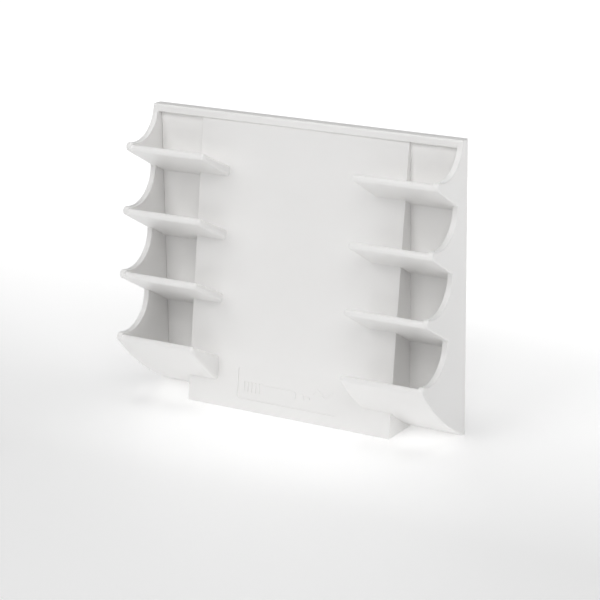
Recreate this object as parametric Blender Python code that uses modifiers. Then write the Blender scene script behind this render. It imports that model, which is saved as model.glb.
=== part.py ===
"""Rack for four board markers, held on a steel board by four pot magnets.

A white front moulding has a leaning centre panel that is also the foot, a top rail, two scalloped
end walls and four sloping half-trays on each side. A plate closes it from behind and carries the
magnets in their steel cups and four rubber grip pads.

Units are metres. X runs across the rack, +Y goes back towards the board, +Z is up. Shapes are
drawn from the back plane, and one empty carries them to the middle of the rack's footprint.
"""

import math

import bmesh
import bpy

# Overall size of the front moulding
WIDTH = 0.150
HEIGHT = 0.1268
END_WALL = 0.0027
SKIN = 0.0024
GAP = 0.0003

# Top rail, which closes the moulding above the panel
RAIL_HEIGHT = 0.0034
RAIL_DEPTH = 0.0048

# Centre panel: the front of a hollow wedge that stands on the floor
PANEL_WIDTH = 0.1002
PANEL_FOOT_DEPTH = 0.0209
PANEL_LEAN = math.radians(8.0)
FLOOR_SKIN = 0.0030

# Trays: each one is lower and stands further out than the one above it
TRAY_COUNT = 4
TRAY_PITCH = 0.02725
TRAY_STEP_OUT = 0.00397
TRAY_INNER_X = 0.0347
TRAY_DRAFT = math.radians(2.0)
TRAY_FLOOR_TILT = math.radians(26.0)
TRAY_UNDERSIDE_TILT = math.radians(29.8)
LIP_RADIUS = 0.0015
LIP_SET_BACK = 0.0003
LIP_STEPS = 8

# Scallops of the end walls: each arc hugs a marker and runs into a round nose
SCALLOP_RADIUS = 0.015
SCALLOP_DEPTH = 0.0196
SCALLOP_HEIGHT = 0.128
SCALLOP_END = math.radians(-105.8)
SCALLOP_STEPS = 14
NOSE_RADIUS = 0.00195
NOSE_STEPS = 8

# Underside of the lowest trays, one large arc down to the foot of the back plane
BELLY_RADIUS = 0.115
BELLY_NOSE_ANGLE = math.radians(220.0)
BELLY_STEPS = 10
BELLY_TOE = 0.0012
BELLY_POCKET_DEPTH = 0.0290

# Shallow recessed field low on the panel
FIELD_WIDTH = 0.0500
FIELD_BOTTOM = 0.0052
FIELD_TOP = 0.0187
FIELD_RECESS = 0.0004
FIELD_CORNER = 0.0008
FIELD_CORNER_STEPS = 3

# Back plate
PLATE_THICKNESS = 0.0024
HOOK_HEIGHTS = (0.020, 0.070)
HOOK_WIDTH = 0.0080
HOOK_THICKNESS = 0.0012
HOOK_LENGTH = 0.0046
HOOK_CATCH = 0.0009
HOOK_CATCH_AT = 0.72

# Pot magnets: a steel cup with a ferrite disc, mouth to the board
MAGNET_X = 0.028
MAGNET_HEIGHTS = {"lower": 0.022, "upper": 0.074}
CUP_RADIUS = 0.0100
CUP_DEPTH = 0.0045
CUP_WALL = 0.0011
CUP_EDGE = 0.0004
MAGNET_RADIUS = 0.0083
MAGNET_RECESS = 0.0002
SOCKET_WALL = 0.0020
SOCKET_FLOOR = 0.0011

# Rubber grip pads in shallow seats
PAD_X = 0.062
PAD_HEIGHTS = {"lower": 0.013, "upper": 0.113}
PAD_RADIUS = 0.0050
PAD_PROUD = 0.0005
PAD_SUNK = 0.0006
PAD_EDGE = 0.0002

ROUND_STEPS = 48
CUT_MARGIN = 0.002
WELD = 0.000001
FLAT_ANGLE = math.radians(0.1)
SMOOTH_ANGLE = math.radians(30.0)
NOTCH_SEARCH = 0.5
NOTCH_HALVINGS = 50

HALF_WIDTH = WIDTH / 2
HALF_PANEL = PANEL_WIDTH / 2
COMPARTMENT_X = HALF_WIDTH - END_WALL
RAIL_BOTTOM = HEIGHT - RAIL_HEIGHT
SEAT_DEPTH = PLATE_THICKNESS + GAP
SIDES = {"left": -1, "right": 1}


# ---------------------------------------------------------------- helpers

def arc(centre, radius, start, end, steps):
    """Points along an arc in the Y-Z plane, both ends included."""
    turn = (end - start) / steps
    angles = [start + turn * i for i in range(steps + 1)]
    return [(centre[0] + radius * math.cos(a), centre[1] + radius * math.sin(a)) for a in angles]


def clear_scene():
    for item in list(bpy.data.objects):
        bpy.data.objects.remove(item, do_unlink=True)


def make_collection(name):
    collection = bpy.data.collections.new(name)
    bpy.context.scene.collection.children.link(collection)
    return collection


def make_material(name, colour, roughness, metallic=0.0):
    material = bpy.data.materials.new(name)
    material.use_nodes = True
    shader = material.node_tree.nodes["Principled BSDF"]
    shader.inputs["Base Color"].default_value = (*colour, 1.0)
    shader.inputs["Roughness"].default_value = roughness
    shader.inputs["Metallic"].default_value = metallic
    return material


def add_object(name, mesh, collection):
    item = bpy.data.objects.new(name, mesh)
    collection.objects.link(item)
    return item


def extrude_outline(name, outline, middle, width, collection, rotation=(90, 0, 90)):
    """Closed mesh made from a flat outline that is thickened about the point middle.

    The default rotation lays the outline in the Y-Z plane and thickens it along X.
    """
    curve = bpy.data.curves.new(name, "CURVE")
    curve.dimensions = "2D"
    curve.fill_mode = "BOTH"
    curve.extrude = width / 2
    spline = curve.splines.new("POLY")
    spline.points.add(len(outline) - 1)
    for point, (across, up) in zip(spline.points, outline):
        point.co = (across, up, 0.0, 1.0)
    spline.use_cyclic_u = True
    drawn = add_object(name + "_outline", curve, collection)
    drawn.location = middle
    drawn.rotation_euler = [math.radians(angle) for angle in rotation]
    bpy.context.view_layer.update()
    evaluated = drawn.evaluated_get(bpy.context.evaluated_depsgraph_get())
    mesh = bpy.data.meshes.new_from_object(evaluated)
    mesh.transform(drawn.matrix_world)
    bpy.data.objects.remove(drawn)
    bpy.data.curves.remove(curve)
    welded = bmesh.new()
    welded.from_mesh(mesh)
    bmesh.ops.remove_doubles(welded, verts=welded.verts, dist=WELD)
    bmesh.ops.dissolve_limit(welded, angle_limit=FLAT_ANGLE, verts=welded.verts, edges=welded.edges)
    bmesh.ops.recalc_face_normals(welded, faces=welded.faces)
    snap(welded)
    welded.to_mesh(mesh)
    welded.free()
    return add_object(name, mesh, collection)


def snap(shape):
    """Round coordinates to 0.0001 mm, so that faces meant to be flush are exactly flush."""
    for vert in shape.verts:
        vert.co = [round(value, 7) for value in vert.co]


def add_block(name, low, high, collection):
    """Box between two corners."""
    mesh = bpy.data.meshes.new(name)
    shape = bmesh.new()
    bmesh.ops.create_cube(shape, size=1.0)
    for vert in shape.verts:
        vert.co = [a + (b - a) * (c + 0.5) for a, b, c in zip(low, high, vert.co)]
    snap(shape)
    shape.to_mesh(mesh)
    shape.free()
    return add_object(name, mesh, collection)


def add_turned(name, profile, x, height, collection):
    """Solid turned about an axis along Y; profile holds (radius, y) points on the axis at both ends."""
    mesh = bpy.data.meshes.new(name)
    shape = bmesh.new()
    corners = [shape.verts.new((radius, 0.0, along)) for radius, along in profile]
    for first, second in zip(corners, corners[1:]):
        shape.edges.new((first, second))
    shape.to_mesh(mesh)
    shape.free()
    item = add_object(name, mesh, collection)
    item.location = (x, 0.0, height)
    item.rotation_euler = (math.radians(-90), 0.0, 0.0)
    screw = item.modifiers.new("turn", "SCREW")
    screw.axis = "Z"
    screw.steps = ROUND_STEPS
    screw.render_steps = ROUND_STEPS
    screw.use_merge_vertices = True
    screw.merge_threshold = WELD
    screw.use_smooth_shade = True
    return item


def as_tool(item):
    item.hide_render = True
    item.display_type = "WIRE"
    return item


def combine(item, operation, collection):
    """Boolean of one object with every object in a collection."""
    boolean = item.modifiers.new(operation.lower() + "_" + collection.name, "BOOLEAN")
    boolean.operation = operation
    boolean.solver = "EXACT"
    boolean.operand_type = "COLLECTION"
    boolean.collection = collection


def finish_part(item, material, frame):
    item.data.materials.clear()
    item.data.materials.append(material)
    item.data.shade_smooth()
    item.data.set_sharp_from_angle(angle=SMOOTH_ANGLE)
    item.parent = frame


# ---------------------------------------------------------------- side-view geometry

def panel_front(height):
    """Y of the panel's front face at a height."""
    return -PANEL_FOOT_DEPTH + math.tan(PANEL_LEAN) * height


def scallop_centre(tray):
    return (-SCALLOP_DEPTH - tray * TRAY_STEP_OUT, SCALLOP_HEIGHT - tray * TRAY_PITCH)


def nose_centre(tray):
    """The end wall's round nose touches the scallop from outside at the scallop's end."""
    y, z = scallop_centre(tray)
    reach = SCALLOP_RADIUS + NOSE_RADIUS
    return (y + reach * math.cos(SCALLOP_END), z + reach * math.sin(SCALLOP_END))


def nose_arc(tray):
    """Round nose from the end of the scallop, over the front, to the underside."""
    end = math.radians(270) - TRAY_UNDERSIDE_TILT
    if tray == TRAY_COUNT - 1:
        end = BELLY_NOSE_ANGLE
    return arc(nose_centre(tray), NOSE_RADIUS, SCALLOP_END + math.pi, end, NOSE_STEPS)


def underside_height(tray, y):
    start = nose_arc(tray)[-1]
    return start[1] - math.tan(TRAY_UNDERSIDE_TILT) * (y - start[0])


def belly_centre():
    """Centre of the arc that runs from the lowest nose to the toe of the back plane."""
    start = nose_arc(TRAY_COUNT - 1)[-1]
    end = (-BELLY_TOE, 0.0)
    chord = math.dist(start, end)
    normal = math.atan2(end[1] - start[1], end[0] - start[0]) + math.pi / 2
    rise = math.sqrt(BELLY_RADIUS ** 2 - (chord / 2) ** 2)
    return (
        (start[0] + end[0]) / 2 + rise * math.cos(normal),
        (start[1] + end[1]) / 2 + rise * math.sin(normal),
    )


def lip_centre(tray):
    """The tray's lip stands just behind the nose and touches the underside or the belly arc."""
    y = nose_centre(tray)[0] - NOSE_RADIUS + LIP_SET_BACK + LIP_RADIUS
    if tray < TRAY_COUNT - 1:
        return (y, underside_height(tray, y) + LIP_RADIUS / math.cos(TRAY_UNDERSIDE_TILT))
    centre = belly_centre()
    reach = BELLY_RADIUS - LIP_RADIUS
    return (y, centre[1] - math.sqrt(reach ** 2 - (y - centre[0]) ** 2))


def lip_end_angle(tray):
    """Where on the lip's circle the underside leaves it."""
    if tray < TRAY_COUNT - 1:
        return math.radians(270) - TRAY_UNDERSIDE_TILT
    centre = belly_centre()
    lip = lip_centre(tray)
    return math.atan2(lip[1] - centre[1], lip[0] - centre[0]) % (2 * math.pi)


def lip_arc(tray):
    """Round lip from the tray's floor, over the front, to the underside."""
    start = math.radians(90) - TRAY_FLOOR_TILT
    return arc(lip_centre(tray), LIP_RADIUS, start, lip_end_angle(tray), LIP_STEPS)


def floor_height(tray, y):
    start = lip_arc(tray)[0]
    return start[1] - math.tan(TRAY_FLOOR_TILT) * (y - start[0])


def belly_arc(inset=0.0):
    """Arc under the lowest tray, from its lip to the toe at the foot of the back plane.

    With an inset it is the same arc moved into the material.
    """
    centre = belly_centre()
    first = lip_end_angle(TRAY_COUNT - 1)
    last = math.atan2(-centre[1], -BELLY_TOE - centre[0]) % (2 * math.pi)
    return arc(centre, BELLY_RADIUS - inset, first, last, BELLY_STEPS)


def notch_angle(tray):
    """Angle on a scallop where the underside of the tray above meets it."""
    centre = scallop_centre(tray)
    low, high = -NOTCH_SEARCH, NOTCH_SEARCH
    for _ in range(NOTCH_HALVINGS):
        angle = (low + high) / 2
        y = centre[0] + SCALLOP_RADIUS * math.cos(angle)
        z = centre[1] + SCALLOP_RADIUS * math.sin(angle)
        if z < underside_height(tray - 1, y):
            low = angle
        else:
            high = angle
    return low


def scallop_arc(tray):
    """Concave arc of an end wall above a tray, from its upper end down to the lip."""
    centre = scallop_centre(tray)
    if tray == 0:
        start = -math.acos((SCALLOP_DEPTH - RAIL_DEPTH) / SCALLOP_RADIUS)
    else:
        start = notch_angle(tray)
    return arc(centre, SCALLOP_RADIUS, start, SCALLOP_END, SCALLOP_STEPS)


def end_wall_outline():
    outline = [(0.0, 0.0), (0.0, HEIGHT), (-RAIL_DEPTH, HEIGHT)]
    for tray in range(TRAY_COUNT):
        outline += scallop_arc(tray)[:-1]
        outline += nose_arc(tray)
        outline += lip_arc(tray)[-1:]
    return outline + belly_arc()[1:]


def tray_outline(tray):
    """Sloping shelf with a round lip; the lowest one is closed below by the belly arc."""
    outline = [(0.0, floor_height(tray, 0.0))] + lip_arc(tray)
    if tray == TRAY_COUNT - 1:
        return outline + belly_arc()[1:] + [(0.0, 0.0)]
    return outline + [scallop_arc(tray + 1)[0], (0.0, underside_height(tray, 0.0))]


def belly_height(y, inset=0.0):
    """Height of the belly arc at a depth."""
    points = belly_arc(inset)
    for (y0, z0), (y1, z1) in zip(points, points[1:]):
        if y0 <= y <= y1:
            return z0 + (z1 - z0) * (y - y0) / (y1 - y0)
    return points[-1][1]


def belly_pocket_outline():
    """Hollow inside the lowest tray, open to the back, with a skin all round it."""
    tray = TRAY_COUNT - 1
    drop = SKIN / math.cos(TRAY_FLOOR_TILT)
    front = -BELLY_POCKET_DEPTH
    back = -SEAT_DEPTH + GAP
    lower = [point for point in belly_arc(SKIN) if front < point[0] < back - SKIN]
    return [
        (front, belly_height(front, SKIN)),
        *lower,
        (back, belly_height(back, SKIN)),
        (back, floor_height(tray, back) - drop),
        (front, floor_height(tray, front) - drop),
    ]


# ---------------------------------------------------------------- front moulding

def draft_inner_end(tray, sign):
    """Lean the inner end of a tray, so that the tray is narrower at its lip than at the panel."""
    for vert in tray.data.vertices:
        if abs(vert.co.x) < TRAY_INNER_X + CUT_MARGIN:
            vert.co.x -= sign * math.tan(TRAY_DRAFT) * vert.co.y
    return tray


def add_trays_and_rail(collection):
    """Trays and rail reach a little into the end walls, which are joined on last."""
    end = COMPARTMENT_X + END_WALL / 2
    width = end - TRAY_INNER_X
    for side, sign in SIDES.items():
        middle = (sign * (TRAY_INNER_X + width / 2), 0.0, 0.0)
        for tray in range(TRAY_COUNT):
            name = f"tray_{side}_{tray + 1}"
            solid = extrude_outline(name, tray_outline(tray), middle, width, collection)
            as_tool(draft_inner_end(solid, sign))
    low = (-end, -RAIL_DEPTH, RAIL_BOTTOM)
    as_tool(add_block("rail", low, (end, 0.0, HEIGHT), collection))


def add_end_walls(collection):
    for side, sign in SIDES.items():
        middle = (sign * (HALF_WIDTH - END_WALL / 2), 0.0, 0.0)
        as_tool(extrude_outline("end_wall_" + side, end_wall_outline(), middle, END_WALL, collection))


def add_hollows(collection):
    """Everything that is cut out before the end walls close the sides."""
    end = HALF_WIDTH + CUT_MARGIN
    low = (-end, -SEAT_DEPTH, FLOOR_SKIN)
    as_tool(add_block("plate_seat", low, (end, CUT_MARGIN, RAIL_BOTTOM), collection))
    inner = SKIN / math.cos(PANEL_LEAN)
    top = (PANEL_FOOT_DEPTH - inner - SEAT_DEPTH) / math.tan(PANEL_LEAN)
    wedge_hollow = [
        (-SEAT_DEPTH + GAP, FLOOR_SKIN),
        (-SEAT_DEPTH + GAP, top),
        (-SEAT_DEPTH, top),
        (panel_front(FLOOR_SKIN) + inner, FLOOR_SKIN),
    ]
    width = PANEL_WIDTH - 2 * SKIN
    as_tool(extrude_outline("wedge_hollow", wedge_hollow, (0, 0, 0), width, collection))
    width = end - HALF_PANEL
    for side, sign in SIDES.items():
        middle = (sign * (HALF_PANEL + width / 2), 0.0, 0.0)
        outline = belly_pocket_outline()
        as_tool(extrude_outline("belly_pocket_" + side, outline, middle, width, collection))
        for level, height in enumerate(HOOK_HEIGHTS):
            as_tool(add_catch(f"catch_{side}_{level + 1}", sign, height, collection))
    as_tool(add_field(collection))


def add_catch(name, sign, height, collection):
    """Blind pocket in the wedge's side that a hook of the back plate snaps into."""
    inner = HALF_PANEL - SKIN
    near = inner - CUT_MARGIN
    far = inner + HOOK_CATCH
    xs = sorted((sign * near, sign * far))
    reach = PLATE_THICKNESS + HOOK_LENGTH
    low = (xs[0], -reach - GAP, height - HOOK_WIDTH / 2 - GAP)
    high = (xs[1], -reach / 2 - GAP, height + HOOK_WIDTH / 2 + GAP)
    return add_block(name, low, high, collection)


def add_field(collection):
    """Cutter for the shallow recessed field, lying in the plane of the panel."""
    half = FIELD_WIDTH / 2
    tall = (FIELD_TOP - FIELD_BOTTOM) / math.cos(PANEL_LEAN) / 2
    corner = FIELD_CORNER
    quarter = math.pi / 2
    outline = []
    for index, (x, y) in enumerate(((1, 1), (-1, 1), (-1, -1), (1, -1))):
        centre = (x * (half - corner), y * (tall - corner))
        start = index * quarter
        outline += arc(centre, corner, start, start + quarter, FIELD_CORNER_STEPS)
    height = (FIELD_TOP + FIELD_BOTTOM) / 2
    middle = (0.0, panel_front(height), height)
    lean = 90 - math.degrees(PANEL_LEAN)
    return extrude_outline("field", outline, middle, 2 * FIELD_RECESS, collection, (lean, 0, 0))


def make_rack_body(parts, solids, hollows, walls):
    top = RAIL_BOTTOM + RAIL_HEIGHT / 2
    wedge = [(0.0, 0.0), (0.0, top), (panel_front(top), top), (panel_front(0.0), 0.0)]
    body = extrude_outline("rack_body", wedge, (0, 0, 0), PANEL_WIDTH, parts)
    add_trays_and_rail(solids)
    add_hollows(hollows)
    add_end_walls(walls)
    combine(body, "UNION", solids)
    combine(body, "DIFFERENCE", hollows)
    combine(body, "UNION", walls)
    return body


# ---------------------------------------------------------------- back plate

def add_hook(name, sign, height, collection):
    """Cantilever hook that snaps behind the side of the wedge."""
    outer = HALF_PANEL - SKIN - GAP
    inner = outer - HOOK_THICKNESS
    root = -PLATE_THICKNESS / 2
    tip = -PLATE_THICKNESS - HOOK_LENGTH
    catch_y = tip * HOOK_CATCH_AT
    outline = [
        (inner, root),
        (inner, tip),
        (outer - HOOK_THICKNESS / 2, tip),
        (outer + HOOK_CATCH, catch_y),
        (outer, catch_y + HOOK_CATCH / 2),
        (outer, root),
    ]
    outline = [(sign * x, y) for x, y in outline]
    return extrude_outline(name, outline, (0, 0, height), HOOK_WIDTH, collection, (0, 0, 0))


def magnet_places():
    """Name ending, X and height of each magnet."""
    for level, height in MAGNET_HEIGHTS.items():
        for side, sign in SIDES.items():
            yield f"{level}_{side}", sign * MAGNET_X, height


def pad_places():
    """Name ending, X and height of each grip pad."""
    for level, height in PAD_HEIGHTS.items():
        for side, sign in SIDES.items():
            yield f"{level}_{side}", sign * PAD_X, height


def make_back_plate(parts, solids, hollows):
    low = (-COMPARTMENT_X + GAP, -PLATE_THICKNESS, FLOOR_SKIN + GAP)
    high = (COMPARTMENT_X - GAP, 0.0, RAIL_BOTTOM - GAP)
    plate = add_block("back_plate", low, high, parts)
    cup_room = CUP_DEPTH + GAP
    socket_end = -cup_room - SOCKET_FLOOR
    socket_radius = CUP_RADIUS + GAP + SOCKET_WALL
    for ending, x, height in magnet_places():
        socket = [(0, -PLATE_THICKNESS / 2), (socket_radius, -PLATE_THICKNESS / 2),
                  (socket_radius, socket_end), (0, socket_end)]
        as_tool(add_turned("socket_" + ending, socket, x, height, solids))
        room = [(0, CUT_MARGIN), (CUP_RADIUS + GAP, CUT_MARGIN),
                (CUP_RADIUS + GAP, -cup_room), (0, -cup_room)]
        as_tool(add_turned("cup_room_" + ending, room, x, height, hollows))
    for side, sign in SIDES.items():
        for level, height in enumerate(HOOK_HEIGHTS):
            as_tool(add_hook(f"hook_{side}_{level + 1}", sign, height, solids))
    seat_radius = PAD_RADIUS + GAP
    seat_depth = PAD_SUNK + GAP
    for ending, x, height in pad_places():
        seat = [(0, CUT_MARGIN), (seat_radius, CUT_MARGIN), (seat_radius, -seat_depth), (0, -seat_depth)]
        as_tool(add_turned("pad_seat_" + ending, seat, x, height, hollows))
    combine(plate, "UNION", solids)
    combine(plate, "DIFFERENCE", hollows)
    return plate


# ---------------------------------------------------------------- magnets and pads

def make_cup(ending, x, height, parts):
    """Pressed steel cup, open to the back."""
    inner = CUP_RADIUS - CUP_WALL
    floor = -CUP_DEPTH + CUP_WALL
    profile = [
        (0, floor),
        (inner, floor),
        (inner, 0),
        (CUP_RADIUS, 0),
        (CUP_RADIUS, -CUP_DEPTH + CUP_EDGE),
        (CUP_RADIUS - CUP_EDGE, -CUP_DEPTH),
        (0, -CUP_DEPTH),
    ]
    return add_turned("magnet_cup_" + ending, profile, x, height, parts)


def make_magnet(ending, x, height, parts):
    """Ferrite disc that fills the cup."""
    back = -MAGNET_RECESS
    front = -CUP_DEPTH + CUP_WALL + GAP
    edge = CUP_EDGE / 2
    profile = [
        (0, back),
        (MAGNET_RADIUS - edge, back),
        (MAGNET_RADIUS, back - edge),
        (MAGNET_RADIUS, front),
        (0, front),
    ]
    return add_turned("magnet_" + ending, profile, x, height, parts)


def make_pad(ending, x, height, parts):
    """Thin rubber disc that stands a little proud of the plate."""
    profile = [
        (0, PAD_PROUD),
        (PAD_RADIUS - PAD_EDGE, PAD_PROUD),
        (PAD_RADIUS, PAD_PROUD - PAD_EDGE),
        (PAD_RADIUS, -PAD_SUNK),
        (0, -PAD_SUNK),
    ]
    return add_turned("grip_pad_" + ending, profile, x, height, parts)


def main():
    clear_scene()
    parts = make_collection("marker_rack")
    tool_names = ("body_solids", "body_hollows", "body_ends", "plate_solids", "plate_hollows")
    tools = [make_collection(name) for name in tool_names]

    white = make_material("white_plastic", (0.80, 0.80, 0.79), 0.35)
    steel = make_material("zinc_steel", (0.62, 0.63, 0.64), 0.35, 1.0)
    ferrite = make_material("ferrite", (0.045, 0.045, 0.05), 0.55)
    rubber = make_material("grey_rubber", (0.10, 0.10, 0.105), 0.80)

    depth = PAD_PROUD + NOSE_RADIUS - nose_centre(TRAY_COUNT - 1)[0]
    frame = bpy.data.objects.new("rack_frame", None)
    frame.location = (0.0, depth / 2 - PAD_PROUD, 0.0)
    parts.objects.link(frame)

    body = make_rack_body(parts, *tools[:3])
    plate = make_back_plate(parts, *tools[3:])
    for item in (body, plate):
        finish_part(item, white, frame)
    for collection in tools:
        for tool in collection.objects:
            tool.parent = frame
    for ending, x, height in magnet_places():
        finish_part(make_cup(ending, x, height, parts), steel, frame)
        finish_part(make_magnet(ending, x, height, parts), ferrite, frame)
    for ending, x, height in pad_places():
        finish_part(make_pad(ending, x, height, parts), rubber, frame)


main()
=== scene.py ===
"""Looks of the marker rack: rounded mouldings, moulded white plastic, magnets, floor, light and camera.

Metres, in the CAD model's frame. Side-view outlines are drawn from the back plane of the rack, with
Y = 0 on that plane, and moved back into the frame when they are made solid.
"""

import math

import bmesh
import bpy
from mathutils import Matrix, Vector


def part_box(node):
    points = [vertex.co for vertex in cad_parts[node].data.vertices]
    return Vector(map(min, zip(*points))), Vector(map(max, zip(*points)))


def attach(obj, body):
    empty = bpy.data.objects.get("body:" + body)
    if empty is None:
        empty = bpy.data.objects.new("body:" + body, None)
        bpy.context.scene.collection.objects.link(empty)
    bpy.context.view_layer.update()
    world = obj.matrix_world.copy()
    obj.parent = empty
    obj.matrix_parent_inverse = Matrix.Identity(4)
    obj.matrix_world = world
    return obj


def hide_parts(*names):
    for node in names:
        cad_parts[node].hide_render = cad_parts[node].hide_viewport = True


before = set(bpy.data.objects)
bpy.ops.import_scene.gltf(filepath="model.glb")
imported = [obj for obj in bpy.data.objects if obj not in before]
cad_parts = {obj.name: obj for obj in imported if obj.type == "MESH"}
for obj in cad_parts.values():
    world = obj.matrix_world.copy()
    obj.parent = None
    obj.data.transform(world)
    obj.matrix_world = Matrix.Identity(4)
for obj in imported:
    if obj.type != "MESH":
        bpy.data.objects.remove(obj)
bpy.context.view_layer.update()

MM = 0.001

# Places and sizes read from the CAD model
_, body_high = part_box("rack_body")
_, plate_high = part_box("back_plate")
BACK_Y = plate_high.y
HALF_WIDTH = body_high.x
HEIGHT = body_high.z

# The moulding's own sizes, as the CAD model has them
END_WALL = 2.7 * MM
SKIN = 2.4 * MM
PLATE_THICKNESS = 2.4 * MM
RAIL_HEIGHT = 3.4 * MM
RAIL_DEPTH = 4.8 * MM
HALF_PANEL = 50.1 * MM
PANEL_FOOT_DEPTH = 20.9 * MM
PANEL_LEAN = math.radians(8.0)
FLOOR_SKIN = 3.0 * MM
TRAY_COUNT = 4
TRAY_PITCH = 27.25 * MM
TRAY_STEP_OUT = 3.97 * MM
TRAY_INNER_X = 34.7 * MM
TRAY_DRAFT = math.radians(2.0)
TRAY_FLOOR_TILT = math.radians(26.0)
TRAY_UNDERSIDE_TILT = math.radians(29.8)
LIP_RADIUS = 1.5 * MM
LIP_SET_BACK = 0.3 * MM
SCALLOP_RADIUS = 15.0 * MM
SCALLOP_DEPTH = 19.6 * MM
SCALLOP_HEIGHT = 128.0 * MM
SCALLOP_END = math.radians(-105.8)
NOSE_RADIUS = 1.947 * MM
BELLY_RADIUS = 115.0 * MM
BELLY_NOSE_ANGLE = math.radians(220.0)
BELLY_TOE = 1.2 * MM
BELLY_POCKET_DEPTH = 29.0 * MM
FIELD_HALF_WIDTH = 25.0 * MM
FIELD_BOTTOM = 5.2 * MM
FIELD_TOP = 18.7 * MM
FIELD_RECESS = 0.4 * MM
FIELD_CORNER = 1.0 * MM

# Rounding of the visible edges
WALL_ROUND = 0.55 * MM
TRAY_ROUND = 1.4 * MM
PANEL_ROUND = 0.3 * MM
RAIL_ROUND = 0.9 * MM
RAIL_FOOT_ROUND = 0.5 * MM
NOTCH_ROUND = 0.9 * MM
FOOT_ROUND = 0.4 * MM
ROUND_SEGMENTS = 4
LIP_STEPS = 14
NOSE_STEPS = 14
SCALLOP_STEPS = 26
BELLY_STEPS = 18
FILLET_STEPS = 5
CORNER_STEPS = 6
NOTCH_SEARCH = (-0.5, 0.5)
NOTCH_HALVINGS = 50
TURN_STEPS = 96
SHARP_ANGLE = math.radians(34.0)
FLAT_FACE_WEIGHT = 100

# Leftovers smaller than these are welded or dropped; coordinates are rounded to SNAP_DIGITS
WELD = 0.002 * MM
SLIVER = 0.001 * MM
SNAP_DIGITS = 7

# Back plate: hooks, magnets in steel cups, rubber pads and ejector marks. A number without a unit
# is a share of the size that it belongs to, or a count of steps.
SEAM = 0.04 * MM
PLATE_ROUND = 0.3 * MM
HOOK_HEIGHTS = (20.0 * MM, 70.0 * MM)
HOOK_WIDTH = 8.0 * MM
HOOK_THICKNESS = 1.2 * MM
HOOK_LENGTH = 4.6 * MM
HOOK_CATCH = 0.9 * MM
HOOK_CATCH_AT = 0.72
HOOK_CLEARANCE = 0.3 * MM
MAGNET_X = 28.0 * MM
MAGNET_HEIGHTS = {"lower": 22.0 * MM, "upper": 74.0 * MM}
CUP_RADIUS = 10.0 * MM
CUP_DEPTH = 4.5 * MM
CUP_WALL = 1.1 * MM
CUP_BEND = 0.9 * MM
CUP_RIM = 0.15 * MM
CUP_CORNER = 0.3 * MM
CUP_CLEARANCE = 0.3 * MM
SOCKET_WALL = 2.3 * MM
SOCKET_FLOOR = 1.1 * MM
SOCKET_ROUND = 0.5 * MM
SOCKET_MOUTH = 0.4 * MM
MAGNET_RADIUS = 8.3 * MM
MAGNET_RECESS = 0.2 * MM
MAGNET_GAP = 0.3 * MM
MAGNET_EDGE = 0.35 * MM
MAGNET_BREAK = 0.3
DIMPLE_RADIUS = 1.2 * MM
DIMPLE_FLAT = 0.6
DIMPLE_DEPTH = 0.25 * MM
DIMPLE_SIDE_DEPTH = 0.2 * MM
PAD_X = 62.0 * MM
PAD_HEIGHTS = {"lower": 13.0 * MM, "upper": 113.0 * MM}
PAD_RADIUS = 5.0 * MM
PAD_PROUD = 0.5 * MM
PAD_SUNK = 0.6 * MM
PAD_CLEARANCE = 0.3 * MM
PAD_ROUND = 0.25 * MM
PAD_RINGS = (1.4 * MM, 2.6 * MM, 3.8 * MM)
PAD_RING_HALF = 0.25 * MM
PAD_RING_FLOOR = 0.12 * MM
PAD_RING_DEPTH = 0.15 * MM
EJECTOR_PLACES = (
    (12.0 * MM, 48.0 * MM),
    (50.0 * MM, 48.0 * MM),
    (12.0 * MM, 104.0 * MM),
    (46.0 * MM, 96.0 * MM),
)
EJECTOR_RADIUS = 2.0 * MM
EJECTOR_DEPTH = 0.12 * MM
EJECTOR_STEPS = 48

# Low relief in the field: the ribs of a marker's cap and the marker's parts, each as start, length
# and thickness, then a wavy line that gets thinner
RELIEF_ROOT = 0.2 * MM
RELIEF_HEIGHT = 0.3 * MM
MARKER_UP = -1.4 * MM
CAP_RIBS = 5
CAP_RIB_PITCH = 1.95 * MM
CAP_RIB = (-23.2 * MM, 1.4 * MM, 4.6 * MM)
MARKER_PARTS = (
    (-13.1 * MM, 17.0 * MM, 3.8 * MM),
    (4.4 * MM, 3.4 * MM, 2.6 * MM),
    (8.3 * MM, 2.6 * MM, 1.2 * MM),
)
WAVE_START = 12.4 * MM
WAVE_LENGTH = 9.6 * MM
WAVE_UP = 1.4 * MM
WAVE_RISE = 1.5 * MM
WAVE_THICK = 1.1 * MM
WAVE_TURNS = 1.25
WAVE_TAPER = 0.5
WAVE_STEPS = 36

# Colours, darkest and lightest, and roughness, smoothest and roughest
PLASTIC_COLOURS = ((0.921, 0.914, 0.904), (0.938, 0.932, 0.923))
PLASTIC_ROUGH = (0.32, 0.38)
PLASTIC_IOR = 1.5
STEEL_COLOURS = ((0.50, 0.51, 0.53), (0.66, 0.66, 0.67))
STEEL_ROUGH = (0.24, 0.46)
FERRITE_COLOURS = ((0.030, 0.030, 0.034), (0.075, 0.074, 0.076))
FERRITE_ROUGH = (0.40, 0.62)
RUBBER_COLOURS = ((0.035, 0.035, 0.037), (0.085, 0.084, 0.082))
RUBBER_ROUGH = (0.68, 0.88)
NOISE_MIDDLE = (0.3, 0.7)

# Floor. Its glow is painted light: an emission that stands in for lamp light on the floor, faint at the
# rack so that the shade around it shows. It grows from the first strength to the second: FLOOR_GLOW
# over the Y range FLOOR_GLOW_BEHIND, and FLOOR_GLOW_FAR over the distances FLOOR_GLOW_AROUND. The
# stronger one counts.
FLOOR_COLOURS = ((0.955, 0.955, 0.955), (0.965, 0.965, 0.965))
FLOOR_ROUGH = 0.55
FLOOR_SIZE = 40.0
FLOOR_GLOW = (0.1, 0.8)
FLOOR_GLOW_BEHIND = (-0.08, 0.35)
FLOOR_GLOW_FAR = (0.0, 0.45)
FLOOR_GLOW_AROUND = (0.7, 1.6)

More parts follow.
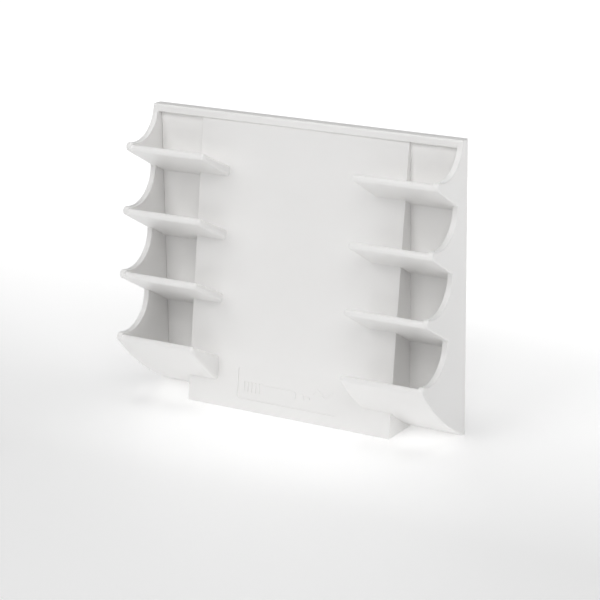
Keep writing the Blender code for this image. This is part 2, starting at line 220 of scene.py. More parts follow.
# Camera
CAMERA_PLACE = (0.46060, -0.76928 + BACK_Y, 0.32835)
CAMERA_YAW = math.radians(31.174)
CAMERA_PITCH = math.radians(17.382)
CAMERA_ROLL = -0.01213
CAMERA_LENS = 131.68
CAMERA_SENSOR = 36.0
CAMERA_REACH = 20.0

# Light: strength of the white dome, then place, size and power of each softbox
DOME = 0.07
SOFTBOXES = {
    "front": ((0.1, -1.5, 0.9), (1.1, 0.8), 2.6),
    "front_left": ((-0.5, -1.3, 1.1), (0.9, 0.9), 7.5),
    "front_right": ((0.9, -1.2, 1.2), (0.9, 0.9), 6.8),
    "above": ((0.0, 0.1, 1.5), (1.4, 1.0), 8.6),
    "right": ((1.4, 0.2, 0.4), (0.8, 0.8), 2.5),
}

# Derived places. A cutter reaches BEYOND the face that it starts from.
COMPARTMENT_X = HALF_WIDTH - END_WALL
RAIL_BOTTOM = HEIGHT - RAIL_HEIGHT
SEAT_CLEARANCE = 0.05 * MM
SEAT_DEPTH = PLATE_THICKNESS + SEAT_CLEARANCE
TRAY_END_COVER = 0.3 * MM
TRAY_OUTER_X = HALF_WIDTH - WALL_ROUND - TRAY_END_COVER
BEYOND = 2.0 * MM
SIDES = (-1, 1)


# ---------------------------------------------------------------- outlines

def arc(centre, radius, start, end, steps):
    turn = (end - start) / steps
    angles = [start + turn * i for i in range(steps + 1)]
    return [(centre[0] + radius * math.cos(a), centre[1] + radius * math.sin(a)) for a in angles]


def fillet(before, corner, after, radius, steps=FILLET_STEPS):
    """Arc that rounds the corner of an outline."""
    corner_at = Vector(corner)
    to_before = (Vector(before) - corner_at).normalized()
    to_after = (Vector(after) - corner_at).normalized()
    half = to_before.angle(to_after) / 2
    centre = corner_at + (to_before + to_after).normalized() * radius / math.sin(half)
    reach = radius / math.tan(half)
    first = corner_at + to_before * reach - centre
    last = corner_at + to_after * reach - centre
    start = math.atan2(first.y, first.x)
    sweep = (math.atan2(last.y, last.x) - start + math.pi) % (2 * math.pi) - math.pi
    return arc(centre, radius, start, start + sweep, steps)


def rounded_rectangle(x, y, half_x, half_y, radius):
    outline = []
    for index, (across, up) in enumerate(((1, 1), (-1, 1), (-1, -1), (1, -1))):
        centre = (x + across * (half_x - radius), y + up * (half_y - radius))
        start = index * math.pi / 2
        outline += arc(centre, radius, start, start + math.pi / 2, CORNER_STEPS)
    return outline


def panel_front(height):
    return -PANEL_FOOT_DEPTH + math.tan(PANEL_LEAN) * height


def scallop_centre(tray):
    return (-SCALLOP_DEPTH - tray * TRAY_STEP_OUT, SCALLOP_HEIGHT - tray * TRAY_PITCH)


def nose_centre(tray):
    """The end wall's round nose touches the scallop from outside at the scallop's end."""
    y, z = scallop_centre(tray)
    reach = SCALLOP_RADIUS + NOSE_RADIUS
    return (y + reach * math.cos(SCALLOP_END), z + reach * math.sin(SCALLOP_END))


def nose_arc(tray):
    """Round nose from the end of the scallop, over the front, to the underside."""
    end = math.radians(270) - TRAY_UNDERSIDE_TILT
    if tray == TRAY_COUNT - 1:
        end = BELLY_NOSE_ANGLE
    return arc(nose_centre(tray), NOSE_RADIUS, SCALLOP_END + math.pi, end, NOSE_STEPS)


def underside_height(tray, y):
    start = nose_arc(tray)[-1]
    return start[1] - math.tan(TRAY_UNDERSIDE_TILT) * (y - start[0])


def belly_centre():
    """Centre of the arc that runs from the lowest nose to the toe of the back plane."""
    start = nose_arc(TRAY_COUNT - 1)[-1]
    end = (-BELLY_TOE, 0.0)
    chord = math.dist(start, end)
    normal = math.atan2(end[1] - start[1], end[0] - start[0]) + math.pi / 2
    rise = math.sqrt(BELLY_RADIUS ** 2 - (chord / 2) ** 2)
    return (
        (start[0] + end[0]) / 2 + rise * math.cos(normal),
        (start[1] + end[1]) / 2 + rise * math.sin(normal),
    )


def lip_centre(tray):
    """The tray's lip stands just behind the nose and touches the underside or the belly arc."""
    y = nose_centre(tray)[0] - NOSE_RADIUS + LIP_SET_BACK + LIP_RADIUS
    if tray < TRAY_COUNT - 1:
        return (y, underside_height(tray, y) + LIP_RADIUS / math.cos(TRAY_UNDERSIDE_TILT))
    centre = belly_centre()
    reach = BELLY_RADIUS - LIP_RADIUS
    return (y, centre[1] - math.sqrt(reach ** 2 - (y - centre[0]) ** 2))


def lip_end_angle(tray):
    """Where on the lip's circle the underside leaves it."""
    if tray < TRAY_COUNT - 1:
        return math.radians(270) - TRAY_UNDERSIDE_TILT
    centre = belly_centre()
    lip = lip_centre(tray)
    return math.atan2(lip[1] - centre[1], lip[0] - centre[0]) % (2 * math.pi)


def lip_arc(tray):
    """Round lip from the tray's floor, over the front, to the underside."""
    start = math.radians(90) - TRAY_FLOOR_TILT
    return arc(lip_centre(tray), LIP_RADIUS, start, lip_end_angle(tray), LIP_STEPS)


def floor_height(tray, y):
    start = lip_arc(tray)[0]
    return start[1] - math.tan(TRAY_FLOOR_TILT) * (y - start[0])


def belly_arc(inset=0.0):
    """Arc under the lowest tray, from its lip to the toe at the foot of the back plane.

    With an inset it is the same arc moved into the material.
    """
    centre = belly_centre()
    first = lip_end_angle(TRAY_COUNT - 1)
    last = math.atan2(-centre[1], -BELLY_TOE - centre[0]) % (2 * math.pi)
    return arc(centre, BELLY_RADIUS - inset, first, last, BELLY_STEPS)


def belly_height(y, inset=0.0):
    points = belly_arc(inset)
    for (y0, z0), (y1, z1) in zip(points, points[1:]):
        if y0 <= y <= y1:
            return z0 + (z1 - z0) * (y - y0) / (y1 - y0)
    return points[-1][1]


def notch_angle(tray):
    """Angle on a scallop where the underside of the tray above meets it."""
    centre = scallop_centre(tray)
    low, high = NOTCH_SEARCH
    for _ in range(NOTCH_HALVINGS):
        angle = (low + high) / 2
        y = centre[0] + SCALLOP_RADIUS * math.cos(angle)
        z = centre[1] + SCALLOP_RADIUS * math.sin(angle)
        if z < underside_height(tray - 1, y):
            low = angle
        else:
            high = angle
    return low


def scallop_arc(tray):
    start = -math.acos((SCALLOP_DEPTH - RAIL_DEPTH) / SCALLOP_RADIUS)
    if tray > 0:
        start = notch_angle(tray)
    return arc(scallop_centre(tray), SCALLOP_RADIUS, start, SCALLOP_END, SCALLOP_STEPS)


def rail_front():
    """Round upper edge of the rail, from its top to its front face."""
    return fillet((0, HEIGHT), (-RAIL_DEPTH, HEIGHT), (-RAIL_DEPTH, RAIL_BOTTOM), RAIL_ROUND)


def end_wall_outline():
    outline = [(0.0, 0.0), (0.0, HEIGHT)] + rail_front()
    for tray in range(TRAY_COUNT):
        arc_down = scallop_arc(tray)
        if tray > 0:
            above = lip_arc(tray - 1)[-1]
            arc_down = fillet(above, arc_down[0], arc_down[1], NOTCH_ROUND) + arc_down[1:]
        outline += arc_down[:-1] + nose_arc(tray) + lip_arc(tray)[-1:]
    return outline + belly_arc()[1:]


def tray_outline(tray):
    """Sloping shelf with a round lip; the lowest one is closed below by the belly arc."""
    if tray == TRAY_COUNT - 1:
        outline = [(0.0, floor_height(tray, 0.0))] + lip_arc(tray)
        return outline + belly_arc()[1:] + [(0.0, 0.0)]
    back = -SEAT_DEPTH / 2
    outline = [(back, floor_height(tray, back))] + lip_arc(tray)
    return outline + [(back, underside_height(tray, back))]


def belly_pocket_outline():
    tray = TRAY_COUNT - 1
    drop = SKIN / math.cos(TRAY_FLOOR_TILT)
    front = -BELLY_POCKET_DEPTH
    back = -SEAT_DEPTH / 2
    lower = [point for point in belly_arc(SKIN) if front < point[0] < back - SKIN]
    return [
        (front, belly_height(front, SKIN)),
        *lower,
        (back, belly_height(back, SKIN)),
        (back, floor_height(tray, back) - drop),
        (front, floor_height(tray, front) - drop),
    ]


# ---------------------------------------------------------------- solids

def snap(shape):
    """Round coordinates to 0.0001 mm, so that faces meant to be flush are exactly flush."""
    for vert in shape.verts:
        vert.co = [round(value, SNAP_DIGITS) for value in vert.co]


def link_mesh(name, shape):
    bmesh.ops.recalc_face_normals(shape, faces=shape.faces)
    mesh = bpy.data.meshes.new(name)
    shape.to_mesh(mesh)
    shape.free()
    piece = bpy.data.objects.new(name, mesh)
    bpy.context.scene.collection.objects.link(piece)
    return piece


def prism(name, outline, x0, x1, rounding=(0.0, 0.0), back_too=(False, False)):
    """Side-view outline made solid between two places on X, with rounded end edges.

    The edges on the back plane stay sharp, except at an end where they are asked for too.
    """
    shape = bmesh.new()
    ends = [[shape.verts.new((x, y + BACK_Y, z)) for y, z in outline] for x in (x0, x1)]
    snap(shape)
    for end in ends:
        shape.faces.new(end)
    count = len(outline)
    for i in range(count):
        j = (i + 1) % count
        shape.faces.new((ends[0][i], ends[0][j], ends[1][j], ends[1][i]))
    bmesh.ops.recalc_face_normals(shape, faces=shape.faces)
    for end, radius, whole in zip(ends, rounding, back_too):
        if not radius:
            continue
        chosen = []
        for i, corner in enumerate(end):
            after = (i + 1) % count
            on_back = outline[i][0] == 0 and outline[after][0] == 0
            if whole or not on_back:
                chosen.append(shape.edges.get((corner, end[after])))
        bmesh.ops.bevel(
            shape, geom=chosen, offset=radius, offset_type="OFFSET", segments=ROUND_SEGMENTS,
            profile=0.5, affect="EDGES", clamp_overlap=False,
        )
    snap(shape)
    return link_mesh(name, shape)


def block(name, low, high, radius=0.0):
    shape = bmesh.new()
    bmesh.ops.create_cube(shape, size=1.0)
    for vert in shape.verts:
        vert.co = [a + (b - a) * (c + 0.5) for a, b, c in zip(low, high, vert.co)]
    snap(shape)
    if radius:
        bmesh.ops.bevel(
            shape, geom=shape.edges, offset=radius, segments=ROUND_SEGMENTS, profile=0.5,
            affect="EDGES", clamp_overlap=False,
        )
    return link_mesh(name, shape)


def turned(name, profile, centre, steps=TURN_STEPS):
    """Solid turned about an axis along Y. The profile holds (radius, y from the back plane)."""
    shape = bmesh.new()
    rings = []
    for radius, along in profile:
        if radius == 0:
            rings.append([shape.verts.new((centre[0], BACK_Y + along, centre[1]))])
            continue
        ring = []
        for step in range(steps):
            angle = 2 * math.pi * step / steps
            x = centre[0] + radius * math.cos(angle)
            ring.append(shape.verts.new((x, BACK_Y + along, centre[1] + radius * math.sin(angle))))
        rings.append(ring)
    for first, second in zip(rings, rings[1:]):
        for step in range(steps):
            after = (step + 1) % steps
            corners = [first[step % len(first)], first[after % len(first)]]
            corners += [second[after % len(second)], second[step % len(second)]]
            shape.faces.new(list(dict.fromkeys(corners)))
    return link_mesh(name, shape)


def combine(target, operation, tools):
    """Join or cut the target with one solid after another."""
    for tool in tools:
        boolean = target.modifiers.new(tool.name, "BOOLEAN")
        boolean.operation = operation
        boolean.solver = "EXACT"
        boolean.object = tool
    apply_modifiers(target)
    for tool in tools:
        bpy.data.objects.remove(tool)


def apply_modifiers(piece):
    bpy.context.view_layer.update()
    evaluated = piece.evaluated_get(bpy.context.evaluated_depsgraph_get())
    mesh = bpy.data.meshes.new_from_object(evaluated)
    piece.modifiers.clear()
    old = piece.data
    piece.data = mesh
    mesh.name = piece.name
    bpy.data.meshes.remove(old)


def clean(piece):
    """Weld hair-line leftovers between joined solids."""
    shape = bmesh.new()
    shape.from_mesh(piece.data)
    bmesh.ops.remove_doubles(shape, verts=shape.verts, dist=WELD)
    bmesh.ops.dissolve_degenerate(shape, edges=shape.edges, dist=SLIVER)
    bmesh.ops.recalc_face_normals(shape, faces=shape.faces)
    shape.to_mesh(piece.data)
    shape.free()


def shade(piece):
    """Smooth over the rounded edges, flat on the flats, sharp in the corners."""
    piece.data.shade_smooth()
    piece.data.set_sharp_from_angle(angle=SHARP_ANGLE)
    weighted = piece.modifiers.new("weighted_normals", "WEIGHTED_NORMAL")
    weighted.keep_sharp = True
    weighted.weight = FLAT_FACE_WEIGHT
    apply_modifiers(piece)


def finish_piece(piece, material, slot, *nodes):
    """Give a piece its material, hang it under the root body and hide the solids of the CAD model that
    it stands for.
    """
    piece.data.materials.clear()
    piece.data.materials.append(material)
    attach(piece, "root")
    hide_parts(*nodes)


# ---------------------------------------------------------------- front moulding

def field_cutter():
    """Shallow rounded rectangle lying in the plane of the panel."""
    tall = (FIELD_TOP - FIELD_BOTTOM) / math.cos(PANEL_LEAN) / 2
    outline = rounded_rectangle(0, 0, FIELD_HALF_WIDTH, tall, FIELD_CORNER)
    return panel_relief("field_cutter", outline, -FIELD_RECESS, FIELD_RECESS)


def panel_relief(name, outline, low, high):
    """Flat outline in the panel's own plane, made solid between two heights above it."""
    middle = (FIELD_TOP + FIELD_BOTTOM) / 2
    origin = Vector((0, panel_front(middle) + BACK_Y, middle))
    across = Vector((1, 0, 0))
    up = Vector((0, math.sin(PANEL_LEAN), math.cos(PANEL_LEAN)))
    out = across.cross(up)
    shape = bmesh.new()
    layers = []
    for height in (low, high):
        layer = []
        for x, y in outline:
            layer.append(shape.verts.new(origin + across * x + up * y + out * height))
        layers.append(layer)
    for layer in layers:
        shape.faces.new(layer)
    count = len(outline)
    for i in range(count):
        j = (i + 1) % count
        shape.faces.new((layers[0][i], layers[0][j], layers[1][j], layers[1][i]))
    return link_mesh(name, shape)


def moulding_hollows():
    """Cutters for the plate's seat, the hollow wedge, the pockets in the bellies and the field."""
    end = HALF_WIDTH + BEYOND
    low = (-end, BACK_Y - SEAT_DEPTH, FLOOR_SKIN)
    tools = [block("plate_seat", low, (end, BACK_Y + BEYOND, RAIL_BOTTOM))]
    inner = SKIN / math.cos(PANEL_LEAN)
    top = (PANEL_FOOT_DEPTH - inner - SEAT_DEPTH) / math.tan(PANEL_LEAN)
    half_seat = -SEAT_DEPTH / 2
    wedge_hollow = [
        (half_seat, FLOOR_SKIN),
        (half_seat, top),
        (-SEAT_DEPTH, top),
        (panel_front(FLOOR_SKIN) + inner, FLOOR_SKIN),
    ]
    half = HALF_PANEL - SKIN
    tools.append(prism("wedge_hollow", wedge_hollow, -half, half))
    for side in SIDES:
        ends = sorted((side * HALF_PANEL, side * end))
        tools.append(prism("belly_pocket", belly_pocket_outline(), *ends))
    tools.append(field_cutter())
    return tools


def pictogram():
    """Low relief in the field: a lying marker and the wavy line that it draws."""
    low = -FIELD_RECESS - RELIEF_ROOT
    high = -FIELD_RECESS + RELIEF_HEIGHT
    shapes = []
    start, thick, tall = CAP_RIB
    ribs = [(start + CAP_RIB_PITCH * index, thick, tall) for index in range(CAP_RIBS)]
    for x, length, tall in (*ribs, *MARKER_PARTS):
        corner = min(length, tall) / 4
        outline = rounded_rectangle(x + length / 2, MARKER_UP, length / 2, tall / 2, corner)
        shapes.append(panel_relief("marker_relief", outline, low, high))
    top = []
    bottom = []
    for step in range(WAVE_STEPS + 1):
        turn = step / WAVE_STEPS
        x = WAVE_START + WAVE_LENGTH * turn
        y = WAVE_UP + WAVE_RISE * math.sin(WAVE_TURNS * math.tau * turn)
        half = WAVE_THICK / 2 * (1 - WAVE_TAPER * turn)
        top.append((x, y + half))
        bottom.append((x, y - half))
    shapes.append(panel_relief("wave_relief", top + bottom[::-1], low, high))
    return shapes


def draft_inner_end(tray, side):
    """Lean the inner end of a tray, so that the tray is narrower at its lip than at the panel."""
    for vert in tray.data.vertices:
        if abs(vert.co.x) < TRAY_INNER_X + 2 * TRAY_ROUND:
            vert.co.x -= side * math.tan(TRAY_DRAFT) * (vert.co.y - BACK_Y)
    return tray


def make_moulding(material):
    top = RAIL_BOTTOM + RAIL_HEIGHT / 2
    foot = fillet((panel_front(top), top), (panel_front(0), 0), (0, 0), FOOT_ROUND)
    wedge = [(0.0, 0.0), (0.0, top), (panel_front(top), top)] + foot
    piece = prism("front_moulding", wedge, -HALF_PANEL, HALF_PANEL, (PANEL_ROUND, PANEL_ROUND))
    solids = []
    for side in SIDES:
        for tray in range(TRAY_COUNT):
            ends = (side * TRAY_INNER_X, side * TRAY_OUTER_X)
            solid = prism("tray", tray_outline(tray), *ends, (TRAY_ROUND, 0.0))
            solids.append(draft_inner_end(solid, side))
    corner = (-RAIL_DEPTH, RAIL_BOTTOM)
    below = fillet((-RAIL_DEPTH, HEIGHT), corner, (0, RAIL_BOTTOM), RAIL_FOOT_ROUND)
    rail = [(0.0, RAIL_BOTTOM), (0.0, HEIGHT)] + rail_front() + below
    solids.append(prism("rail", rail, -TRAY_OUTER_X, TRAY_OUTER_X))
    combine(piece, "UNION", solids)
    combine(piece, "DIFFERENCE", moulding_hollows())
    added = pictogram()
    for side in SIDES:
        ends = (side * COMPARTMENT_X, side * HALF_WIDTH)
        rounding = (WALL_ROUND, WALL_ROUND)
        added.append(prism("end_wall", end_wall_outline(), *ends, rounding, (False, True)))
    combine(piece, "UNION", added)
    clean(piece)
    shade(piece)
    finish_piece(piece, material, "white_moulding", "rack_body")


# ---------------------------------------------------------------- back plate

def magnet_places():
    """Name ending and centre (X, Z) of each magnet."""
    for level, height in MAGNET_HEIGHTS.items():
        for side, across in (("left", -MAGNET_X), ("right", MAGNET_X)):
            yield f"{level}_{side}", (across, height)


def pad_places():
    """Name ending and centre (X, Z) of each pad."""
    for level, height in PAD_HEIGHTS.items():
        for side, across in (("left", -PAD_X), ("right", PAD_X)):
            yield f"{level}_{side}", (across, height)


def edge_round(radius, along, round_radius, into):
    """Quarter circle that ends a turned profile: from its rim to the face at a depth."""
    points = []
    for step in range(FILLET_STEPS + 1):
        angle = math.pi / 2 * step / FILLET_STEPS
        down = round_radius * (1 - math.cos(angle))
        points.append((radius - down, along + into * round_radius * (1 - math.sin(angle))))
    return points


def plate_solids():
    """Closed sockets for the steel cups, and the hooks, all rooted inside the plate."""
    radius = CUP_RADIUS + SOCKET_WALL
    root = -PLATE_THICKNESS / 2
    end = -CUP_DEPTH - CUP_CLEARANCE - SOCKET_FLOOR
    solids = []
    for _, centre in magnet_places():
        profile = [(0, root), (radius, root)]
        profile += edge_round(radius, end, SOCKET_ROUND, 1)
        profile.append((0, end))
        solids.append(turned("socket", profile, centre))
    for side in SIDES:
        for height in HOOK_HEIGHTS:
            solids.append(hook(side, height))
    return solids


def plate_hollows():
    """Cutters for the cups' rooms with a chamfered mouth, the pads' seats and the ejector marks."""
    mouth = CUP_RADIUS + CUP_CLEARANCE
    room = CUP_DEPTH + CUP_CLEARANCE
    hollows = []
    for _, centre in magnet_places():
        profile = [
            (0, BEYOND),
            (mouth + SOCKET_MOUTH + BEYOND, BEYOND),
            (mouth, -SOCKET_MOUTH),
            (mouth, -room),
            (0, -room),
        ]
        hollows.append(turned("cup_room", profile, centre))
    mouth = PAD_RADIUS + PAD_CLEARANCE
    depth = PAD_SUNK + PAD_CLEARANCE
    for _, centre in pad_places():
        profile = [(0, BEYOND), (mouth, BEYOND), (mouth, -depth), (0, -depth)]
        hollows.append(turned("pad_seat", profile, centre))
    for x, z in EJECTOR_PLACES:
        for side in SIDES:
            profile = [(0, BEYOND), (EJECTOR_RADIUS, BEYOND)]
            profile += [(EJECTOR_RADIUS, -EJECTOR_DEPTH), (0, -EJECTOR_DEPTH)]
            hollows.append(turned("ejector_mark", profile, (side * x, z), EJECTOR_STEPS))
    return hollows


def make_plate(material):
    low = (-COMPARTMENT_X + SEAM, BACK_Y - PLATE_THICKNESS, FLOOR_SKIN + SEAM)
    high = (COMPARTMENT_X - SEAM, BACK_Y, RAIL_BOTTOM - SEAM)
    piece = block("plate_moulding", low, high, PLATE_ROUND)
    combine(piece, "UNION", plate_solids())
    combine(piece, "DIFFERENCE", plate_hollows())
    clean(piece)
    shade(piece)
    finish_piece(piece, material, "white_moulding", "back_plate")


def hook(side, height):
    """Cantilever hook behind the side of the wedge."""
    outer = HALF_PANEL - SKIN - HOOK_CLEARANCE
    inner = outer - HOOK_THICKNESS
    tip = -PLATE_THICKNESS - HOOK_LENGTH
    catch = tip * HOOK_CATCH_AT
    outline = [
        (inner, -PLATE_THICKNESS / 2),
        (inner, tip),
        (outer - HOOK_THICKNESS / 2, tip),
        (outer + HOOK_CATCH, catch),
        (outer, catch + HOOK_CATCH / 2),
        (outer, -PLATE_THICKNESS / 2),
    ]
    shape = bmesh.new()
    rings = []
    for z in (height - HOOK_WIDTH / 2, height + HOOK_WIDTH / 2):
        rings.append([shape.verts.new((side * x, y + BACK_Y, z)) for x, y in outline])
    snap(shape)
    for ring in rings:
        shape.faces.new(ring)
    for i in range(len(outline)):
        j = (i + 1) % len(outline)
        shape.faces.new((rings[0][i], rings[0][j], rings[1][j], rings[1][i]))
    return link_mesh("hook", shape)


def make_cup(ending, centre, material):
    """Pressed steel cup with a rounded bottom and a flat ground rim."""
    inner = CUP_RADIUS - CUP_WALL
    floor = -CUP_DEPTH + CUP_WALL
    profile = [(0, floor), (inner - CUP_CORNER, floor), (inner, floor + CUP_CORNER)]
    profile += [(inner, -CUP_RIM), (inner + CUP_RIM, 0)]
    profile += [(CUP_RADIUS - CUP_RIM, 0), (CUP_RADIUS, -CUP_RIM)]
    profile += edge_round(CUP_RADIUS, -CUP_DEPTH, CUP_BEND, 1)
    profile.append((0, -CUP_DEPTH))
    piece = turned("cup_" + ending, profile, centre)
    shade(piece)
    finish_piece(piece, material, "cup_steel", "magnet_cup_" + ending)


def make_magnet(ending, centre, material):
    """Ground ferrite disc with softly broken edges and a shallow centre dimple."""
    back = -MAGNET_RECESS
    front = -CUP_DEPTH + CUP_WALL + MAGNET_GAP
    broken = MAGNET_EDGE * MAGNET_BREAK
    profile = [
        (0, back - DIMPLE_DEPTH),
        (DIMPLE_RADIUS * DIMPLE_FLAT, back - DIMPLE_SIDE_DEPTH),
        (DIMPLE_RADIUS, back),
        (MAGNET_RADIUS - MAGNET_EDGE, back),
        (MAGNET_RADIUS - broken, back - broken),
        (MAGNET_RADIUS, back - MAGNET_EDGE),
        (MAGNET_RADIUS, front + MAGNET_EDGE / 2),
        (MAGNET_RADIUS - MAGNET_EDGE / 2, front),
        (0, front),
    ]
    piece = turned("disc_" + ending, profile, centre)
    shade(piece)
    finish_piece(piece, material, "ferrite", "magnet_" + ending)


def make_pad(ending, centre, material):
    """Rubber disc with a rounded rim and three shallow rings."""
    groove = PAD_PROUD - PAD_RING_DEPTH
    profile = [(0, PAD_PROUD)]
    for ring in PAD_RINGS:
        profile += [
            (ring - PAD_RING_HALF, PAD_PROUD),
            (ring - PAD_RING_FLOOR, groove),
            (ring + PAD_RING_FLOOR, groove),
            (ring + PAD_RING_HALF, PAD_PROUD),
        ]
    profile += edge_round(PAD_RADIUS, PAD_PROUD, PAD_ROUND, -1)[::-1]
    profile += [(PAD_RADIUS, -PAD_SUNK), (0, -PAD_SUNK)]
    piece = turned("pad_" + ending, profile, centre)
    shade(piece)
    finish_piece(piece, material, "grip_rubber", "grip_pad_" + ending)


# ---------------------------------------------------------------- materials

class Nodes:
    """One material, and the nodes that give its colour, roughness and fine relief."""

    def __init__(self, name):
        self.material = bpy.data.materials.new(name)
        self.material.use_nodes = True
        self.tree = self.material.node_tree
        self.shader = self.tree.nodes["Principled BSDF"]
        self.place = self.add("ShaderNodeTexCoord").outputs["Object"]

    def add(self, kind):
        return self.tree.nodes.new(kind)

    def link(self, source, target):
        self.tree.links.new(source, target)

    def noise(self, scale, detail, rough, stretch=None):
        """Random pattern in the object's own place, finer with a larger scale."""
        place = self.place
        if stretch:
            mapping = self.add("ShaderNodeMapping")
            mapping.inputs["Scale"].default_value = stretch
            self.link(place, mapping.inputs["Vector"])
            place = mapping.outputs["Vector"]
        node = self.add("ShaderNodeTexNoise")
        node.inputs["Scale"].default_value = scale
        node.inputs["Detail"].default_value = detail
        node.inputs["Roughness"].default_value = rough
        self.link(place, node.inputs["Vector"])
        return node.outputs["Fac"]

    def ramp(self, source, reach, values):
        """Go from the first value to the second over a range of the source, and stay there."""
        node = self.add("ShaderNodeMapRange")
        node.inputs["From Min"].default_value = reach[0]
        node.inputs["From Max"].default_value = reach[1]
        node.inputs["To Min"].default_value = values[0]
        node.inputs["To Max"].default_value = values[1]
        self.link(source, node.inputs["Value"])
        return node.outputs["Result"]

    def bump(self, height, distance, strength, normal=None):
        node = self.add("ShaderNodeBump")
        node.inputs["Distance"].default_value = distance
        node.inputs["Strength"].default_value = strength
        self.link(height, node.inputs["Height"])
        if normal:
            self.link(normal, node.inputs["Normal"])
        return node.outputs["Normal"]

    def colour(self, noise, colours):
        """Base colour that goes from the first colour to the second over the middle of a noise."""
        node = self.add("ShaderNodeMix")
        node.data_type = "RGBA"
        node.inputs["A"].default_value = (*colours[0], 1)
        node.inputs["B"].default_value = (*colours[1], 1)
        self.link(self.ramp(noise, NOISE_MIDDLE, (0.0, 1.0)), node.inputs["Factor"])
        self.link(node.outputs["Result"], self.shader.inputs["Base Color"])

    def roughness(self, noise, values):
        self.link(self.ramp(noise, NOISE_MIDDLE, values), self.shader.inputs["Roughness"])

    def normal(self, source):
        self.link(source, self.shader.inputs["Normal"])


def white_plastic():
    """Satin white plastic: faint flow clouds, fine mould grain, very shallow waviness."""
    make = Nodes("white_moulded_plastic")
    clouds = make.noise(scale=28.0, detail=3.0, rough=0.55)
    grain = make.noise(scale=2600.0, detail=2.0, rough=0.6)
    waves = make.noise(scale=55.0, detail=1.0, rough=0.4)
    sheen = make.noise(scale=90.0, detail=4.0, rough=0.6)
    make.colour(clouds, PLASTIC_COLOURS)
    make.roughness(sheen, PLASTIC_ROUGH)
    wavy = make.bump(waves, distance=0.25 * MM, strength=0.20)
    make.normal(make.bump(grain, distance=0.012 * MM, strength=0.5, normal=wavy))
    make.shader.inputs["IOR"].default_value = PLASTIC_IOR
    return make.material


def zinc_steel():
    """Zinc-plated steel: spangled tone, turned-like fine scratches, dull patches."""
    make = Nodes("zinc_plated_steel")
    spangle = make.noise(scale=420.0, detail=3.0, rough=0.6)
    patches = make.noise(scale=160.0, detail=5.0, rough=0.65)
    scratches = make.noise(scale=900.0, detail=2.0, rough=0.5, stretch=(1.0, 1.0, 14.0))
    make.colour(spangle, STEEL_COLOURS)
    make.roughness(patches, STEEL_ROUGH)
    make.normal(make.bump(scratches, distance=0.02 * MM, strength=0.4))
    make.shader.inputs["Metallic"].default_value = 1.0
    return make.material


def ferrite():
    """Ground ferrite: dark grey with pores and grinding marks."""
    make = Nodes("ground_ferrite")
    pores = make.noise(scale=1500.0, detail=4.0, rough=0.7)
    patches = make.noise(scale=300.0, detail=3.0, rough=0.6)
    marks = make.noise(scale=700.0, detail=2.0, rough=0.5, stretch=(12.0, 1.0, 1.0))
    make.colour(pores, FERRITE_COLOURS)
    make.roughness(patches, FERRITE_ROUGH)
    ground = make.bump(marks, distance=0.03 * MM, strength=0.5)
    make.normal(make.bump(pores, distance=0.03 * MM, strength=0.4, normal=ground))
    return make.material


def rubber():
    """Matt dark rubber with a dusty, slightly uneven skin."""
    make = Nodes("grey_grip_rubber")
    dust = make.noise(scale=500.0, detail=4.0, rough=0.65)
    patches = make.noise(scale=240.0, detail=3.0, rough=0.6)
    skin = make.noise(scale=2200.0, detail=3.0, rough=0.6)
    make.colour(dust, RUBBER_COLOURS)
    make.roughness(patches, RUBBER_ROUGH)
    make.normal(make.bump(skin, distance=0.03 * MM, strength=0.6))
    return make.material


# ---------------------------------------------------------------- stage

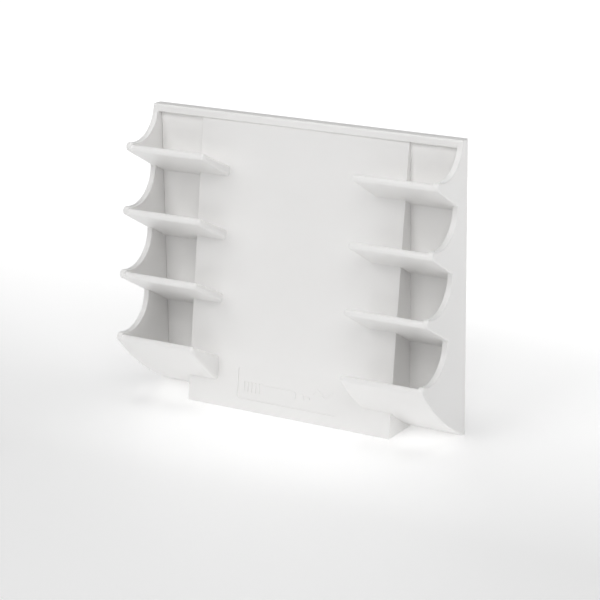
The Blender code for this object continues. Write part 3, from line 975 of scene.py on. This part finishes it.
def make_floor():
    """White paper with painted light: an emission that is faint at the rack, and more behind it and far
    away.
    """
    bpy.ops.mesh.primitive_plane_add(size=FLOOR_SIZE, location=(0, 0, 0))
    floor = bpy.context.object
    floor.name = "floor"
    make = Nodes("white_floor_paper")
    make.colour(make.noise(scale=6.0, detail=2.0, rough=0.5), FLOOR_COLOURS)
    make.shader.inputs["Roughness"].default_value = FLOOR_ROUGH
    make.shader.inputs["Emission Color"].default_value = (1, 1, 1, 1)
    split = make.add("ShaderNodeSeparateXYZ")
    make.link(make.place, split.inputs["Vector"])
    distance = make.add("ShaderNodeVectorMath")
    distance.operation = "LENGTH"
    make.link(make.place, distance.inputs[0])
    # Painted light: the floor's emission grows away from the rack, so the rack's surroundings stay in
    # shade
    behind = make.ramp(split.outputs["Y"], FLOOR_GLOW_BEHIND, FLOOR_GLOW)
    around = make.ramp(distance.outputs["Value"], FLOOR_GLOW_AROUND, FLOOR_GLOW_FAR)
    glow = make.add("ShaderNodeMath")
    glow.operation = "MAXIMUM"
    make.link(behind, glow.inputs[0])
    make.link(around, glow.inputs[1])
    make.link(glow.outputs["Value"], make.shader.inputs["Emission Strength"])
    floor.data.materials.append(make.material)


def make_camera():
    yaw, pitch = CAMERA_YAW, CAMERA_PITCH
    forward = Vector((
        -math.sin(yaw) * math.cos(pitch),
        math.cos(yaw) * math.cos(pitch),
        -math.sin(pitch),
    ))
    level = forward.cross(Vector((0, 0, 1))).normalized()
    upright = level.cross(forward)
    right = math.cos(CAMERA_ROLL) * level + math.sin(CAMERA_ROLL) * upright
    up = math.cos(CAMERA_ROLL) * upright - math.sin(CAMERA_ROLL) * level
    data = bpy.data.cameras.new("camera")
    data.sensor_width = CAMERA_SENSOR
    data.lens = CAMERA_LENS
    data.clip_end = CAMERA_REACH
    camera = bpy.data.objects.new("camera", data)
    bpy.context.scene.collection.objects.link(camera)
    turn = Matrix((right, up, -forward)).transposed().to_4x4()
    camera.matrix_world = Matrix.Translation(CAMERA_PLACE) @ turn
    bpy.context.scene.camera = camera


def add_softbox(name, place, size, power):
    """Area light that faces the middle of the rack."""
    data = bpy.data.lights.new(name, "AREA")
    data.shape = "RECTANGLE"
    data.size, data.size_y = size
    data.energy = power
    lamp = bpy.data.objects.new(name, data)
    bpy.context.scene.collection.objects.link(lamp)
    lamp.location = place
    aim = Vector((0, 0, HEIGHT / 2)) - Vector(place)
    lamp.rotation_euler = aim.to_track_quat("-Z", "Y").to_euler()
    lamp.visible_camera = False


def make_light():
    world = bpy.data.worlds.new("studio")
    bpy.context.scene.world = world
    world.use_nodes = True
    background = world.node_tree.nodes["Background"]
    background.inputs["Color"].default_value = (1, 1, 1, 1)
    background.inputs["Strength"].default_value = DOME
    for name, (place, size, power) in SOFTBOXES.items():
        add_softbox(name, place, size, power)
    bpy.context.scene.view_settings.view_transform = "Standard"


white = white_plastic()
steel = zinc_steel()
dark = ferrite()
grip = rubber()
make_moulding(white)
make_plate(white)
for ending, centre in magnet_places():
    make_cup(ending, centre, steel)
    make_magnet(ending, centre, dark)
for ending, centre in pad_places():
    make_pad(ending, centre, grip)
make_floor()
make_camera()
make_light()
